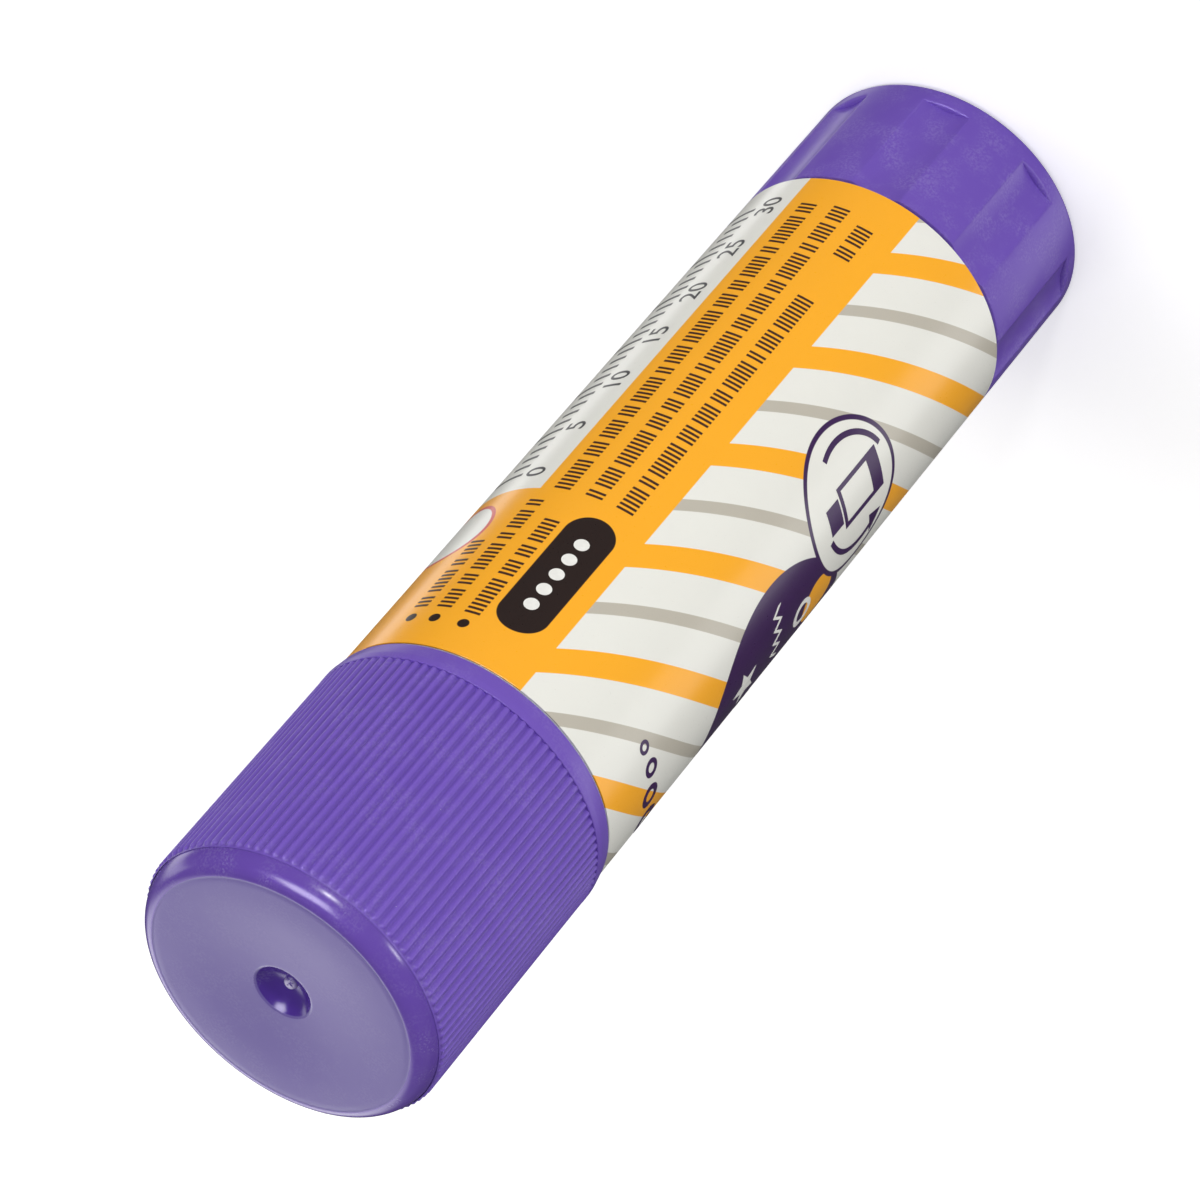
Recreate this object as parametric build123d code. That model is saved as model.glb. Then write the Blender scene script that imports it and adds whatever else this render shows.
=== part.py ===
from build123d import *
import os
from math import atan, cos, degrees, pi, sin

# A closed twist-up glue stick, standing on its knob with the cap on top.
# Millimetres. +Z runs up the axis towards the cap, and the origin is the middle of the base.

# Outside sizes
knob_height = 11.5           # fluted wheel at the base
barrel_height = 51.15        # straight part of the barrel, which carries the label
cap_height = 21.1
body_diameter = 20.6         # over the label, and over the knob
cap_step = 0.25              # how far the cap's ribs stand out past the label
label_thickness = 0.1
label_inset = 0.15           # bare barrel at each end of the label
label_seam = 0.3             # slit where the label's two ends meet
label_seam_angle = 25        # degrees round from +X, at the side away from the photograph

# Gaps and fits
knob_gap = 0.15              # knob to the barrel's foot
cap_gap = 0.1                # cap's rim to the barrel's shoulder
cap_clearance = 0.06         # neck's bead in the cap's bore, radial
hub_clearance = 0.06         # knob's hub in the barrel's floor, radial
slide_clearance = 0.08       # carrier in the barrel's bore, radial
key_clearance = 0.15         # carrier's grooves over the barrel's ribs
screw_clearance = 0.06       # carrier's nut round the spindle, radial
glue_clearance = 0.45        # glue to the barrel's bore and the spindle, radial
seat_clearance = 0.02        # pieces pressed together, radial
play = 0.15                  # axial play at the knob's snap ring and the carrier's stop

# Cap
cap_wall = 0.95              # at the neck, under the ribs
cap_roof = 1.5
cap_seal_width = 0.6         # step inside the cap that closes on the mouth
cap_edge_width = 1.45        # rounded edge, measured across the end face
cap_edge_height = 1.75       # rounded edge, measured down the side
cap_edge_chords = 4          # straight steps that make up the curve
cap_corner = 1.0             # inside, under the roof
rib_count = 100
rib_height = 0.15
rib_inset = 0.03             # crests below the band at the rim, and feet above the smooth ring
rib_tip = 0.5                # height over which a rib slopes off at its top
rib_stub = 0.02              # height left at the top of that slope
rib_crest_share = 0.4        # of the pitch, flat on top of a rib
rib_top_drop = 1.8           # smooth ring above the ribs, measured from the end face
rim_band = 1.65              # smooth band below the ribs
rim_band_flat = 0.5          # upright part of that band
rim_lip = 0.2                # taper of the rest towards the rim
dimple_radius = 2.0          # gate mark in the middle of the end face
dimple_depth = 0.6

# Barrel
neck_height = 10.2
neck_wall = 0.8
bead_height = 0.2
bead_width = 1.0
bead_place_share = 0.5       # of the neck's height
groove_depth = 0.1           # in the cap, round the bead
mouth_edge = 0.2
floor_thickness = 1.6
key_count = 4
key_width = 1.0
key_height = 0.45
key_stop = 1.5               # the ribs end this far below the mouth

# Knob
knob_wall = 1.5
knob_floor = 1.7
knob_edge = 0.4              # bevel round the base
flute_count = 8
flute_radius = 5.6
flute_depth = 0.45
flute_foot = 1.5             # plain ring below the flutes
flute_turn = 24              # degrees round from +X to the first flute
foot_ring = 2.4              # width of the ring that the stick stands on
foot_recess = 0.4
hub_radius = 4.2
hub_bead = 0.35
hub_bead_width = 1.0
hub_slots = 4                # split the hub into springy tongues
hub_slot = 0.8
hub_slot_depth = 5.6
hub_lead = 0.3               # bevel on the hub's top

# Spindle
spindle_radius = 3.0
spindle_root_radius = 2.4
spindle_flange = 0.8
spindle_flange_reach = 0.7   # how far the flange stands out over the screw
spindle_tip = 0.8
spindle_top_drop = 11.0      # spindle's tip below the mouth
screw_lead = 6.0             # climb for each turn
screw_turns = 2              # turns that the free space above a fresh column allows

# Carrier
cup_wall = 0.9
cup_height = 11.0
cup_floor = 1.4
cup_skirt = 2.6              # wall below the floor, which keeps the cup upright
cup_lip = 0.4
nut_wall = 1.7
nut_height = 7.0
nut_drop = 3.0               # nut below the cup's floor

# Glue
glue_top_drop = 5.0          # glue below the mouth in a fresh stick
glue_edge = 0.6
glue_bore_rise = 0.6         # hollow above the spindle's tip

overrun = 1.0                # cutters run past the faces that they open

# Places that follow from the sizes above
body_radius = body_diameter / 2
cap_radius = body_radius + cap_step
rib_crest_radius = cap_radius - rib_inset
rib_foot_radius = rib_crest_radius - rib_height
ring_radius = rib_foot_radius - rib_inset
barrel_radius = body_radius - label_thickness
cap_bore_radius = ring_radius - cap_wall
cap_upper_radius = cap_bore_radius - cap_seal_width
bead_radius = cap_bore_radius - cap_clearance
neck_radius = bead_radius - bead_height
bore_radius = neck_radius - neck_wall
key_radius = bore_radius - key_height
cup_radius = bore_radius - slide_clearance
cup_inner_radius = cup_radius - cup_wall
nut_radius = spindle_radius + screw_clearance + nut_wall
glue_radius = bore_radius - glue_clearance

barrel_foot_z = knob_height + knob_gap
barrel_floor_z = barrel_foot_z + floor_thickness
shoulder_z = barrel_foot_z + barrel_height
mouth_z = shoulder_z + neck_height
bead_z = shoulder_z + bead_place_share * neck_height
cap_rim_z = shoulder_z + cap_gap
cap_top_z = cap_rim_z + cap_height
cap_roof_z = cap_top_z - cap_roof
hub_bead_z = barrel_floor_z + play
hub_top_z = hub_bead_z + hub_bead_width + hub_lead
flange_top_z = hub_top_z + spindle_flange
spindle_top_z = mouth_z - spindle_top_drop
nut_foot_z = flange_top_z + play
cup_floor_z = nut_foot_z + nut_drop
cup_inside_z = cup_floor_z + cup_floor
cup_foot_z = cup_floor_z - cup_skirt
cup_rim_z = cup_foot_z + cup_height
nut_top_z = nut_foot_z + nut_height
glue_top_z = mouth_z - glue_top_drop
carrier_travel = screw_lead * screw_turns


def turned(*outline):
    """Solid of revolution from an outline of radius and height pairs."""
    return revolve(make_face(Polyline(*[(r, 0, z) for r, z in outline], close=True)), Axis.Z)


def rod(radius, low, high):
    return Pos(0, 0, low) * Cylinder(radius, high - low, align=(Align.CENTER, Align.CENTER, Align.MIN))


def bar(width, reach, low, high):
    """Upright bar that runs from the axis out along +X."""
    block = Box(reach, width, high - low, align=(Align.MIN, Align.CENTER, Align.MIN))
    return Pos(0, 0, low) * block


def around(count, piece):
    return [Rot(0, 0, turn * 360 / count) * piece for turn in range(count)]


def bead_ring(radius, height, middle, width):
    """Snap bead with sloping flanks, to add to a round face or to cut from one."""
    half = width / 2
    return turned(
        (radius - height, middle - half - height),
        (radius, middle - half - height),
        (radius + height, middle - half),
        (radius + height, middle + half),
        (radius, middle + half + height),
        (radius - height, middle + half + height),
    )


def rib_ring(low, high):
    """Ribs that run straight up, each with a flat slope at its top."""
    pitch = 360 / rib_count
    slope_share = (1 - rib_crest_share) / 2
    corners = []
    for rib in range(rib_count):
        valley = rib * pitch
        crest_start = valley + pitch * slope_share
        crest_end = crest_start + pitch * rib_crest_share
        corners.append(Vector(rib_foot_radius, 0, 0).rotate(Axis.Z, valley))
        corners.append(Vector(rib_crest_radius, 0, 0).rotate(Axis.Z, crest_start))
        corners.append(Vector(rib_crest_radius, 0, 0).rotate(Axis.Z, crest_end))
    prism = Pos(0, 0, low) * extrude(make_face(Polyline(*corners, close=True)), high - low)
    lean = degrees(atan((cap_radius - rib_foot_radius - rib_stub) / rib_tip))
    tops = extrude(RegularPolygon(cap_radius, rib_count), rib_tip, taper=lean)
    return prism & (rod(cap_radius, low, high - rib_tip) + Pos(0, 0, high - rib_tip) * tops)


def cap_core():
    """Smooth body of the cap, filled solid. Its rounded edge is a quarter of an ellipse, in short chords."""
    edge_start = cap_top_z - cap_edge_height
    edge_width = ring_radius - (cap_radius - cap_edge_width)
    edge = []
    for step in range(cap_edge_chords + 1):
        swing = pi / 2 * step / cap_edge_chords
        edge.append((ring_radius - edge_width * (1 - cos(swing)), edge_start + cap_edge_height * sin(swing)))
    return turned((0, cap_rim_z), (ring_radius, cap_rim_z), *edge, (0, cap_top_z))


def make_cap():
    band_top = cap_rim_z + rim_band
    band = turned(
        (0, cap_rim_z),
        (cap_radius - rim_lip, cap_rim_z),
        (cap_radius, band_top - rim_band_flat),
        (cap_radius, band_top),
        (0, band_top),
    )
    shell = cap_core() + rib_ring(band_top - rim_band_flat / 2, cap_top_z - rib_top_drop) + band
    hollow = rod(cap_bore_radius, cap_rim_z - overrun, mouth_z + cap_gap)
    upper = rod(cap_upper_radius, mouth_z, cap_roof_z)
    upper = chamfer(upper.edges().group_by(Axis.Z)[-1], cap_corner)
    groove = bead_ring(cap_bore_radius, groove_depth, bead_z, bead_width)
    dimple = rod(dimple_radius, cap_top_z - dimple_depth, cap_top_z + overrun)
    return shell - hollow - upper - groove - dimple


def make_barrel():
    tube = rod(barrel_radius, barrel_foot_z, shoulder_z) + rod(neck_radius, shoulder_z, mouth_z)
    tube = chamfer(tube.edges().filter_by(GeomType.CIRCLE).group_by(Axis.Z)[-1], mouth_edge)
    tube += bead_ring(neck_radius, bead_height, bead_z, bead_width)
    tube -= rod(bore_radius, barrel_floor_z, mouth_z + overrun)
    tube -= rod(hub_radius + hub_clearance, barrel_foot_z - overrun, barrel_floor_z + overrun)
    key = bar(key_width, bore_radius + neck_wall / 2, barrel_floor_z, mouth_z - key_stop)
    key -= rod(key_radius, barrel_floor_z - overrun, mouth_z + overrun)
    for one in around(key_count, key):
        tube += one
    return tube


def make_label():
    low = barrel_foot_z + label_inset
    high = shoulder_z - label_inset
    sleeve = rod(body_radius, low, high) - rod(barrel_radius, low - overrun, high + overrun)
    slit = bar(label_seam, body_radius + overrun, low - overrun, high + overrun)
    return sleeve - Rot(0, 0, label_seam_angle) * slit


def make_knob():
    wheel = rod(body_radius, 0, knob_height)
    wheel = chamfer(wheel.edges().group_by(Axis.Z)[0], knob_edge)
    wheel -= rod(body_radius - knob_wall, knob_floor, knob_height + overrun)
    wheel -= rod(body_radius - foot_ring, -overrun, foot_recess)
    flute = rod(flute_radius, flute_foot, knob_height + overrun)
    flute = Pos(body_radius - flute_depth + flute_radius, 0, 0) * flute
    for one in around(flute_count, flute):
        wheel -= Rot(0, 0, flute_turn) * one
    hub = rod(hub_radius, knob_floor / 2, hub_bead_z)
    hub += turned(
        (0, hub_bead_z),
        (hub_radius + hub_bead, hub_bead_z),
        (hub_radius + hub_bead, hub_bead_z + hub_bead_width),
        (hub_radius - hub_lead, hub_top_z),
        (0, hub_top_z),
    )
    slot = bar(hub_slot, hub_radius + hub_bead + overrun, hub_top_z - hub_slot_depth, hub_top_z + overrun)
    for one in around(hub_slots, slot):
        hub -= one
    return wheel + hub - rod(spindle_root_radius + seat_clearance, knob_floor, hub_top_z + overrun)


def make_spindle():
    root = rod(spindle_root_radius, knob_floor, hub_top_z)
    flange = rod(spindle_radius + spindle_flange_reach, hub_top_z, flange_top_z)
    screw = rod(spindle_radius, hub_top_z, spindle_top_z)
    screw = chamfer(screw.edges().group_by(Axis.Z)[-1], spindle_tip)
    return root + flange + screw


def make_carrier():
    cup = rod(cup_radius, cup_foot_z, cup_rim_z)
    cup -= rod(cup_inner_radius, cup_inside_z, cup_rim_z + overrun)
    cup -= rod(cup_inner_radius, cup_foot_z - overrun, cup_floor_z)
    cup = chamfer(cup.edges().group_by(Axis.Z)[-1].sort_by(SortBy.LENGTH)[0], cup_lip)
    cup += rod(nut_radius, nut_foot_z, nut_top_z)
    cup -= rod(spindle_radius + screw_clearance, nut_foot_z - overrun, nut_top_z + overrun)
    groove = bar(key_width + 2 * key_clearance, bore_radius + overrun, cup_foot_z - overrun, cup_rim_z + overrun)
    groove -= rod(key_radius - key_clearance, cup_foot_z - 2 * overrun, cup_rim_z + 2 * overrun)
    for one in around(key_count, groove):
        cup -= one
    return cup


def make_glue():
    column = rod(glue_radius, cup_rim_z, glue_top_z)
    column = chamfer(column.edges().group_by(Axis.Z)[-1], glue_edge)
    column += rod(cup_inner_radius - seat_clearance, cup_inside_z, cup_rim_z)
    column -= rod(nut_radius + seat_clearance, cup_inside_z - overrun, nut_top_z)
    column -= rod(spindle_radius + glue_clearance, cup_inside_z, spindle_top_z + glue_bore_rise)
    groove = bar(key_width + 2 * glue_clearance, bore_radius + overrun, cup_rim_z, glue_top_z + overrun)
    groove -= rod(key_radius - glue_clearance, cup_rim_z - overrun, glue_top_z + 2 * overrun)
    for one in around(key_count, groove):
        column -= one
    return column


pieces = {
    "barrel": make_barrel(),
    "label": make_label(),
    "cap": make_cap(),
    "knob": make_knob(),
    "spindle": make_spindle(),
    "carrier": make_carrier(),
    "glue": make_glue(),
}

os.makedirs("parts", exist_ok=True)
for name, shape in pieces.items():
    export_step(shape, f"parts/{name}.step")

print("height", round(cap_top_z, 3), "cap radius", round(cap_radius, 3), "bore radius", round(bore_radius, 3))
print("carrier travel", carrier_travel, "metres per radian", round(screw_lead / 1000 / (2 * pi), 9))
print("space left under the cap's roof", round(cap_roof_z - glue_top_z - carrier_travel, 3))
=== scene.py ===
import bmesh
import bpy
from math import acos, asin, cos, pi, radians, sin, tan
from mathutils import Matrix, Vector


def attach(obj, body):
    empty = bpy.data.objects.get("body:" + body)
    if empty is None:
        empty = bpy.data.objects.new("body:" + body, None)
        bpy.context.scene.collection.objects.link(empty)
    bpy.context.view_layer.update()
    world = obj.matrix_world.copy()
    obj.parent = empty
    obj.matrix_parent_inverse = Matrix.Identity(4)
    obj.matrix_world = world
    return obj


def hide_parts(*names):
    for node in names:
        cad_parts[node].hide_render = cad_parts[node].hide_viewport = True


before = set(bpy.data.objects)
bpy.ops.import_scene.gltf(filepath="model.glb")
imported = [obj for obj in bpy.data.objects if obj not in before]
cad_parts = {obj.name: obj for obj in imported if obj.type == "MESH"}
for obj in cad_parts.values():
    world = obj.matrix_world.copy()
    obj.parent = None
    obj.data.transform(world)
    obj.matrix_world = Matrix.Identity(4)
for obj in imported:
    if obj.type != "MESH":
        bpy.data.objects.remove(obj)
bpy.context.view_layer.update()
print("frame loaded:", ", ".join(sorted(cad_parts)))

mm = 0.001
scene = bpy.context.scene


# Nodes: a field is one output of a node, and each step of a sum with fields adds a math node to their tree

def byMaths(operation, swapped=False):
    return lambda *values: maths(operation, *(reversed(values) if swapped else values))


class Field:
    __add__, __sub__, __rsub__ = byMaths("ADD"), byMaths("SUBTRACT"), byMaths("SUBTRACT", True)
    __mul__, __truediv__, __rtruediv__ = byMaths("MULTIPLY"), byMaths("DIVIDE"), byMaths("DIVIDE", True)
    __gt__, __abs__ = byMaths("GREATER_THAN"), byMaths("ABSOLUTE")

    def __init__(self, socket):
        self.socket = socket


def connect(value, socket):
    # a field is linked, None leaves the socket alone, and anything else becomes its own value
    if isinstance(value, Field):
        socket.id_data.links.new(value.socket, socket)
    elif value is not None:
        socket.default_value = value


def addNode(tree, kind, *values, **settings):
    # the values go to the enabled inputs in their order
    made = tree.nodes.new(kind)
    made.location = (180 * (len(tree.nodes) % 12), -260 * (len(tree.nodes) // 12))
    for setting, value in settings.items():
        setattr(made, setting, value)
    for value, socket in zip(values, [one for one in made.inputs if one.enabled]):
        connect(value, socket)
    return made


def field(tree, kind, *values, give=0, **settings):
    # give is the output's index or name
    return Field(addNode(tree, kind, *values, **settings).outputs[give])


def fieldsOf(node):
    return {one.name: Field(one) for one in node.outputs}


def maths(operation, *values):
    tree = [one for one in values if isinstance(one, Field)][0].socket.id_data
    return field(tree, "ShaderNodeMath", *values, operation=operation)


def ramp(value, low, high):
    # smooth step from 0 at low to 1 at high
    return field(value.socket.id_data, "ShaderNodeMapRange", value, low, high, 0, 1, interpolation_type="SMOOTHSTEP")


def axesOf(place):
    return [Field(one) for one in addNode(place.socket.id_data, "ShaderNodeSeparateXYZ", place).outputs]


def noise(place, size, detail=2):
    # size in mm
    return field(place.socket.id_data, "ShaderNodeTexNoise", place, 1 / (size * mm), detail)


def blend(share, first, second):
    return field(share.socket.id_data, "ShaderNodeMix", share, first, second, give=2, data_type="RGBA")


def tinted(colour, tone):
    plain = colour if isinstance(colour, Field) else colour[:3]
    return field(tone.socket.id_data, "ShaderNodeVectorMath", plain, tone, operation="SCALE")


def newTree(name, kind, inputs, outputs):
    # an input or output is the name of a number, or a name and its kind
    tree = bpy.data.node_groups.new(name, kind)
    for sockets, side in ((inputs, "INPUT"), (outputs, "OUTPUT")):
        for one in sockets:
            label, value = (one, "Float") if isinstance(one, str) else one
            tree.interface.new_socket(label, in_out=side, socket_type="NodeSocket" + value)
    return tree, fieldsOf(addNode(tree, "NodeGroupInput")), addNode(tree, "NodeGroupOutput").inputs


# Camera, light and floor

cameraLook = {
    "place": (0, -286.6, 271.4),
    "right": (-0.765, -0.398, -0.507),
    "up": (0.644, -0.4745, -0.600),
    "lens": 172,
    "sensor": 36,
}
lampLook = {  # azimuth from -Y towards +X, elevation, distance in mm, width, height, power and if it is mirrored
    "keyLamp": (16, 12, 600, 80, 60, 0.82, True),
    "sideLamp": (-37, -1, 620, 110, 50, 0.42, True),
    "topLamp": (90, 74, 600, 170, 170, 0.75, False),
    "backLamp": (180, 12, 620, 300, 100, 1.1, False),
}
lampTarget = (0, 0, 42)  # mm
worldLook = {
    "fill": 0.36,          # what the world gives to matt surfaces all round
    "front": 0.7,          # what it adds on the camera's side
    "below": 0.07,         # what glossy surfaces reflect from below
    "above": 0.25,
    "horizon": 0.15,       # half the height over which those two meet
}
softboxLook = (  # azimuth, half width, elevation, half height, softness and strength, for reflections only
    (131, 5, -18, 36, 6, 1.9),
    (-77, 13, -46, 14, 8, 1.5),
    (10, 50, -38, 30, 30, 0.12),
    (37, 20, 51, 8, 8, 11.5),
    (180, 10, 18, 6, 22, 3.2),
)
floorLook = {
    "half": 2.0, "height": -0.00005,   # metres
    "white": (0.9, 0.9, 0.9, 1),
    "glow": 0.39,                      # the floor's own white for the camera
    "farGlow": 0.2,                    # more of it far off, where the floor meets the background
    "near": 0.16, "far": 0.6,          # metres
}


def addObject(name, data):
    made = bpy.data.objects.new(name, data)
    scene.collection.objects.link(made)
    return made


def makeCamera(look):
    data = bpy.data.cameras.new("photoCamera")
    data.lens, data.sensor_width = look["lens"], look["sensor"]
    data.clip_start, data.clip_end = 0.01, 20
    camera = addObject("photoCamera", data)
    right = Vector(look["right"]).normalized()
    back = right.cross(Vector(look["up"])).normalized()
    turned = Matrix((right, back.cross(right), back)).transposed().to_4x4()
    camera.matrix_world = Matrix.Translation(Vector(look["place"]) * mm) @ turned
    scene.camera = camera


def makeLamps():
    for name, (azimuth, elevation, distance, width, height, power, mirrored) in lampLook.items():
        data = bpy.data.lights.new(name, "AREA")
        data.shape = "RECTANGLE"
        data.size, data.size_y = width * mm, height * mm
        data.energy = power
        lamp = addObject(name, data)
        lamp.visible_glossy = mirrored
        lamp.visible_camera = False
        turn, lift = radians(azimuth), radians(elevation)
        aim = Vector((sin(turn) * cos(lift), -cos(turn) * cos(lift), sin(lift)))
        turned = aim.to_track_quat("Z", "Y").to_matrix().to_4x4()
        lamp.matrix_world = Matrix.Translation((Vector(lampTarget) + aim * distance) * mm) @ turned


def makeWorld(look):
    world = bpy.data.worlds.new("studio")
    world.use_nodes = True
    world.cycles.sampling_method = "NONE"  # every ray sees the world's own light for its kind
    scene.world = world
    tree = world.node_tree
    tree.nodes.clear()
    x, y, z = axesOf(field(tree, "ShaderNodeTexCoord", give="Generated"))
    azimuth = maths("ARCTAN2", x, y * -1)
    elevation = maths("ARCSINE", z)
    shine = ramp(z, -look["horizon"], look["horizon"]) * (look["above"] - look["below"]) + look["below"]
    for turn, halfWidth, lift, halfHeight, soft, strength in softboxLook:
        aside = abs(maths("WRAP", azimuth - radians(turn), pi, -pi))
        away = abs(elevation - radians(lift))
        across = ramp(aside, radians(halfWidth + soft), radians(halfWidth))
        along = ramp(away, radians(halfHeight + soft), radians(halfHeight))
        shine = across * along * strength + shine
    rays = fieldsOf(addNode(tree, "ShaderNodeLightPath"))
    matt = look["fill"] - maths("MINIMUM", y, 0) * look["front"]
    lit = field(tree, "ShaderNodeMix", rays["Is Glossy Ray"], matt, shine)
    seen = field(tree, "ShaderNodeMix", rays["Is Camera Ray"], lit, 1)
    addNode(tree, "ShaderNodeOutputWorld", field(tree, "ShaderNodeBackground", (1, 1, 1, 1), seen))


def blankMaterial(name):
    material = bpy.data.materials.new(name)
    material.use_nodes = True
    material.node_tree.nodes.clear()
    return material, material.node_tree


def makeFloor(look):
    half, height = look["half"], look["height"]
    mesh = bpy.data.meshes.new("floor")
    mesh.from_pydata([(x, y, height) for x, y in ((-half, -half), (half, -half), (half, half), (-half, half))], [],
                     [(0, 1, 2, 3)])
    floor = addObject("floor", mesh)
    floor.visible_glossy = False
    material, tree = blankMaterial("paleFloor")
    place = field(tree, "ShaderNodeTexCoord", give="Object")
    away = field(tree, "ShaderNodeVectorMath", place, give="Value", operation="LENGTH")
    pale = ramp(away, look["near"], look["far"]) * look["farGlow"] + look["glow"]
    seen = field(tree, "ShaderNodeLightPath", give="Is Camera Ray") * pale
    both = field(tree, "ShaderNodeAddShader", field(tree, "ShaderNodeBsdfDiffuse", look["white"]),
                 field(tree, "ShaderNodeEmission", (1, 1, 1, 1), seen))
    addNode(tree, "ShaderNodeOutputMaterial", both)
    mesh.materials.append(material)


scene.view_settings.view_transform = "Standard"
makeCamera(cameraLook)
makeLamps()
makeWorld(worldLook)
makeFloor(floorLook)
print("camera, lamps, world and floor made")


# Shader groups: what several finishes share

inkSoftness = 0.03  # mm, half the blur at a printed edge
mouldedLook = {"flow": 7, "stretch": (1, 1, 0.35), "grain": 0.25, "grainGloss": 0.25}  # sizes in mm
dustLook = {"spacing": 1.6, "size": 0.05, "few": 0.8, "colour": (0.75, 0.75, 0.78, 1)}  # spacing in mm
scuffLook = {"patch": 2.2, "grain": 0.16, "span": (0.4, 0.66), "rough": 1.5, "colour": (0.75, 0.72, 0.85, 1)}


def useGroup(tree, group, *values):
    return fieldsOf(addNode(tree, "ShaderNodeGroup", *values, node_tree=group))


def makeMouldedGroup(look):
    # faint flow marks, fine grain and pinhole lustre of moulded plastic
    tree, given, out = newTree("mouldedPlastic", "ShaderNodeTree", [("Place", "Vector"), "Flow"],
                               ["Tone", "Gloss", "Height"])
    stretched = field(tree, "ShaderNodeVectorMath", given["Place"], look["stretch"], operation="MULTIPLY")
    flow = noise(stretched, look["flow"]) - 0.5
    grain = noise(given["Place"], look["grain"], 3) - 0.5
    connect(flow * given["Flow"] + 1, out["Tone"])
    connect(grain * look["grainGloss"] + flow, out["Gloss"])
    connect(grain, out["Height"])
    return tree


def makeDustGroup(look):
    # a few pale specks of dust
    tree, given, out = newTree("dustSpecks", "ShaderNodeTree", [("Place", "Vector")], ["Mask"])
    cells = fieldsOf(addNode(tree, "ShaderNodeTexVoronoi", given["Place"], 1 / (look["spacing"] * mm), feature="F1"))
    chance, share, unused = fieldsOf(addNode(tree, "ShaderNodeSeparateColor", cells["Color"])).values()
    size = share * look["size"]
    connect(ramp(cells["Distance"], size, size * 0.4) * (chance > look["few"]), out["Mask"])
    return tree


def makeRoundGroup():
    # distance from the stick's axis and height, both in mm
    tree, given, out = newTree("roundPlace", "ShaderNodeTree", [("Place", "Vector")], ["Radius", "Rise"])
    flat = field(tree, "ShaderNodeVectorMath", given["Place"], (1, 1, 0), operation="MULTIPLY")
    connect(field(tree, "ShaderNodeVectorMath", flat, give="Value", operation="LENGTH") / mm, out["Radius"])
    connect(axesOf(given["Place"])[2] / mm, out["Rise"])
    return tree


def makeBoxGroup():
    # printed box with rounded corners, in mm on the label
    labels = ("Across", "Up", "Middle across", "Middle up", "Width", "Height", "Corner")
    tree, given, out = newTree("printedBox", "ShaderNodeTree", labels, ["Mask"])
    sides = [abs(given[place] - given[middle]) - (given[size] * 0.5 - given["Corner"])
             for place, middle, size in (("Across", "Middle across", "Width"), ("Up", "Middle up", "Height"))]
    aside, above = (maths("MAXIMUM", one, 0) for one in sides)
    outside = maths("SQRT", aside * aside + above * above)
    inside = maths("MINIMUM", maths("MAXIMUM", *sides), 0)
    connect(ramp(outside + inside - given["Corner"], inkSoftness, -inkSoftness), out["Mask"])
    return tree


def makeStripeGroup():
    # slanting stripes that repeat up the label; top is where the first one starts
    labels = ("Across", "Up", "Slope", "Repeat", "Top", "Height")
    tree, given, out = newTree("slantedStripes", "ShaderNodeTree", labels, ["Mask"])
    below = given["Across"] * given["Slope"] + given["Top"] - given["Up"]
    half = given["Height"] * 0.5
    away = abs(maths("FLOORED_MODULO", below, given["Repeat"]) - half)
    connect(ramp(away - half, inkSoftness, -inkSoftness), out["Mask"])
    return tree


mouldedGroup = makeMouldedGroup(mouldedLook)
dustGroup = makeDustGroup(dustLook)
roundGroup = makeRoundGroup()
boxGroup = makeBoxGroup()
stripeGroup = makeStripeGroup()


def newMaterial(name):
    material, tree = blankMaterial(name)
    shader = addNode(tree, "ShaderNodeBsdfPrincipled")
    addNode(tree, "ShaderNodeOutputMaterial", Field(shader.outputs[0]))
    return material, shader.inputs, field(tree, "ShaderNodeTexCoord", give="Object")


def finishRelief(shader, look, height):
    bump = addNode(height.socket.id_data, "ShaderNodeBump", look["bump"], look["bumpReach"] * mm)
    connect(height, bump.inputs["Height"])
    connect(Field(bump.outputs[0]), shader["Normal"])
    for label, value in look.get("sockets", {}).items():
        shader[label].default_value = value


def cloudedFinish(shader, place, look, colour):
    # slow clouds in the tone, fine grain in the gloss, and both in the relief
    cloud, fine = noise(place, look["cloud"], 3), noise(place, look["fine"])
    connect(tinted(colour, (cloud - 0.5) * look["toneChange"] + 1), shader["Base Color"])
    connect(fine * look["glossChange"] + look["roughness"], shader["Roughness"])
    if "bump" in look:
        finishRelief(shader, look, cloud * look["cloudHeight"] + fine * look["fineHeight"])


def cloudedMaterial(name, look, colour):
    material, shader, place = newMaterial(name)
    cloudedFinish(shader, place, look, colour)
    return material


def plasticMaterial(name, look):
    material, shader, place = newMaterial(name)
    tree = material.node_tree
    marks = useGroup(tree, mouldedGroup, place, look["flow"])
    colour = tinted(look["colour"], marks["Tone"])
    rough = marks["Gloss"] * look["glossChange"] + look["roughness"]
    if "face" in look:
        colour, rough = capFinish(tree, look, place, marks["Tone"], colour, rough)
    if "scuff" in look:  # pale rubbed patches with fine grain
        patch, grain = noise(place, scuffLook["patch"], 4), noise(place, scuffLook["grain"])
        rubbed = ramp(patch, *scuffLook["span"]) * ramp(grain, *scuffLook["span"]) * look["scuff"]
        colour = blend(rubbed, colour, scuffLook["colour"])
        rough = rubbed * scuffLook["rough"] + rough
    if "dust" in look:
        dust = useGroup(tree, dustGroup, place)["Mask"]
        colour = blend(dust * look["dust"], colour, dustLook["colour"])
    connect(colour, shader["Base Color"])
    connect(rough, shader["Roughness"])
    finishRelief(shader, look, marks["Height"])
    return material


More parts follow.
